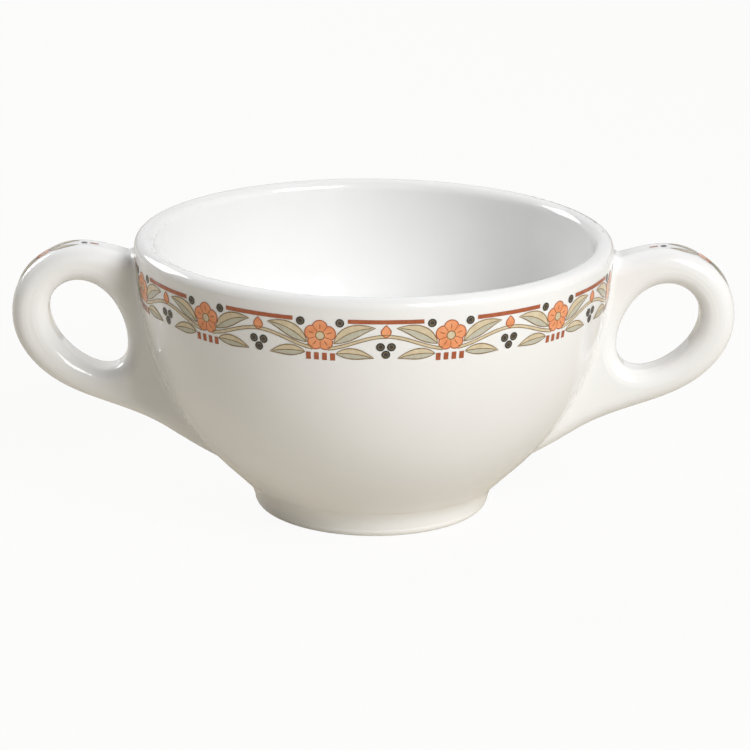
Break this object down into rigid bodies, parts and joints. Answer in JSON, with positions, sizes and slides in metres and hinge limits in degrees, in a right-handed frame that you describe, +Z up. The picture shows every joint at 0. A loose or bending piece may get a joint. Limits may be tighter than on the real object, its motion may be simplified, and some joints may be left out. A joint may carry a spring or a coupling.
{
  "type": "bouillon cup",
  "caption": "Round glazed china bouillon cup with a low foot ring, looped side handles and a printed border below the lip.",
  "frame": {"origin": "middle of the foot ring's underside, on the table", "axes": "+Z up, X through both handles, Y towards the back"},
  "size_m": [0.1482, 0.098, 0.0572],
  "materials": {
    "glazed_china": "clear gloss glaze over white china"
  },
  "bodies": {
    "root": {"cup": "glazed_china"}
  },
  "joints": []
}
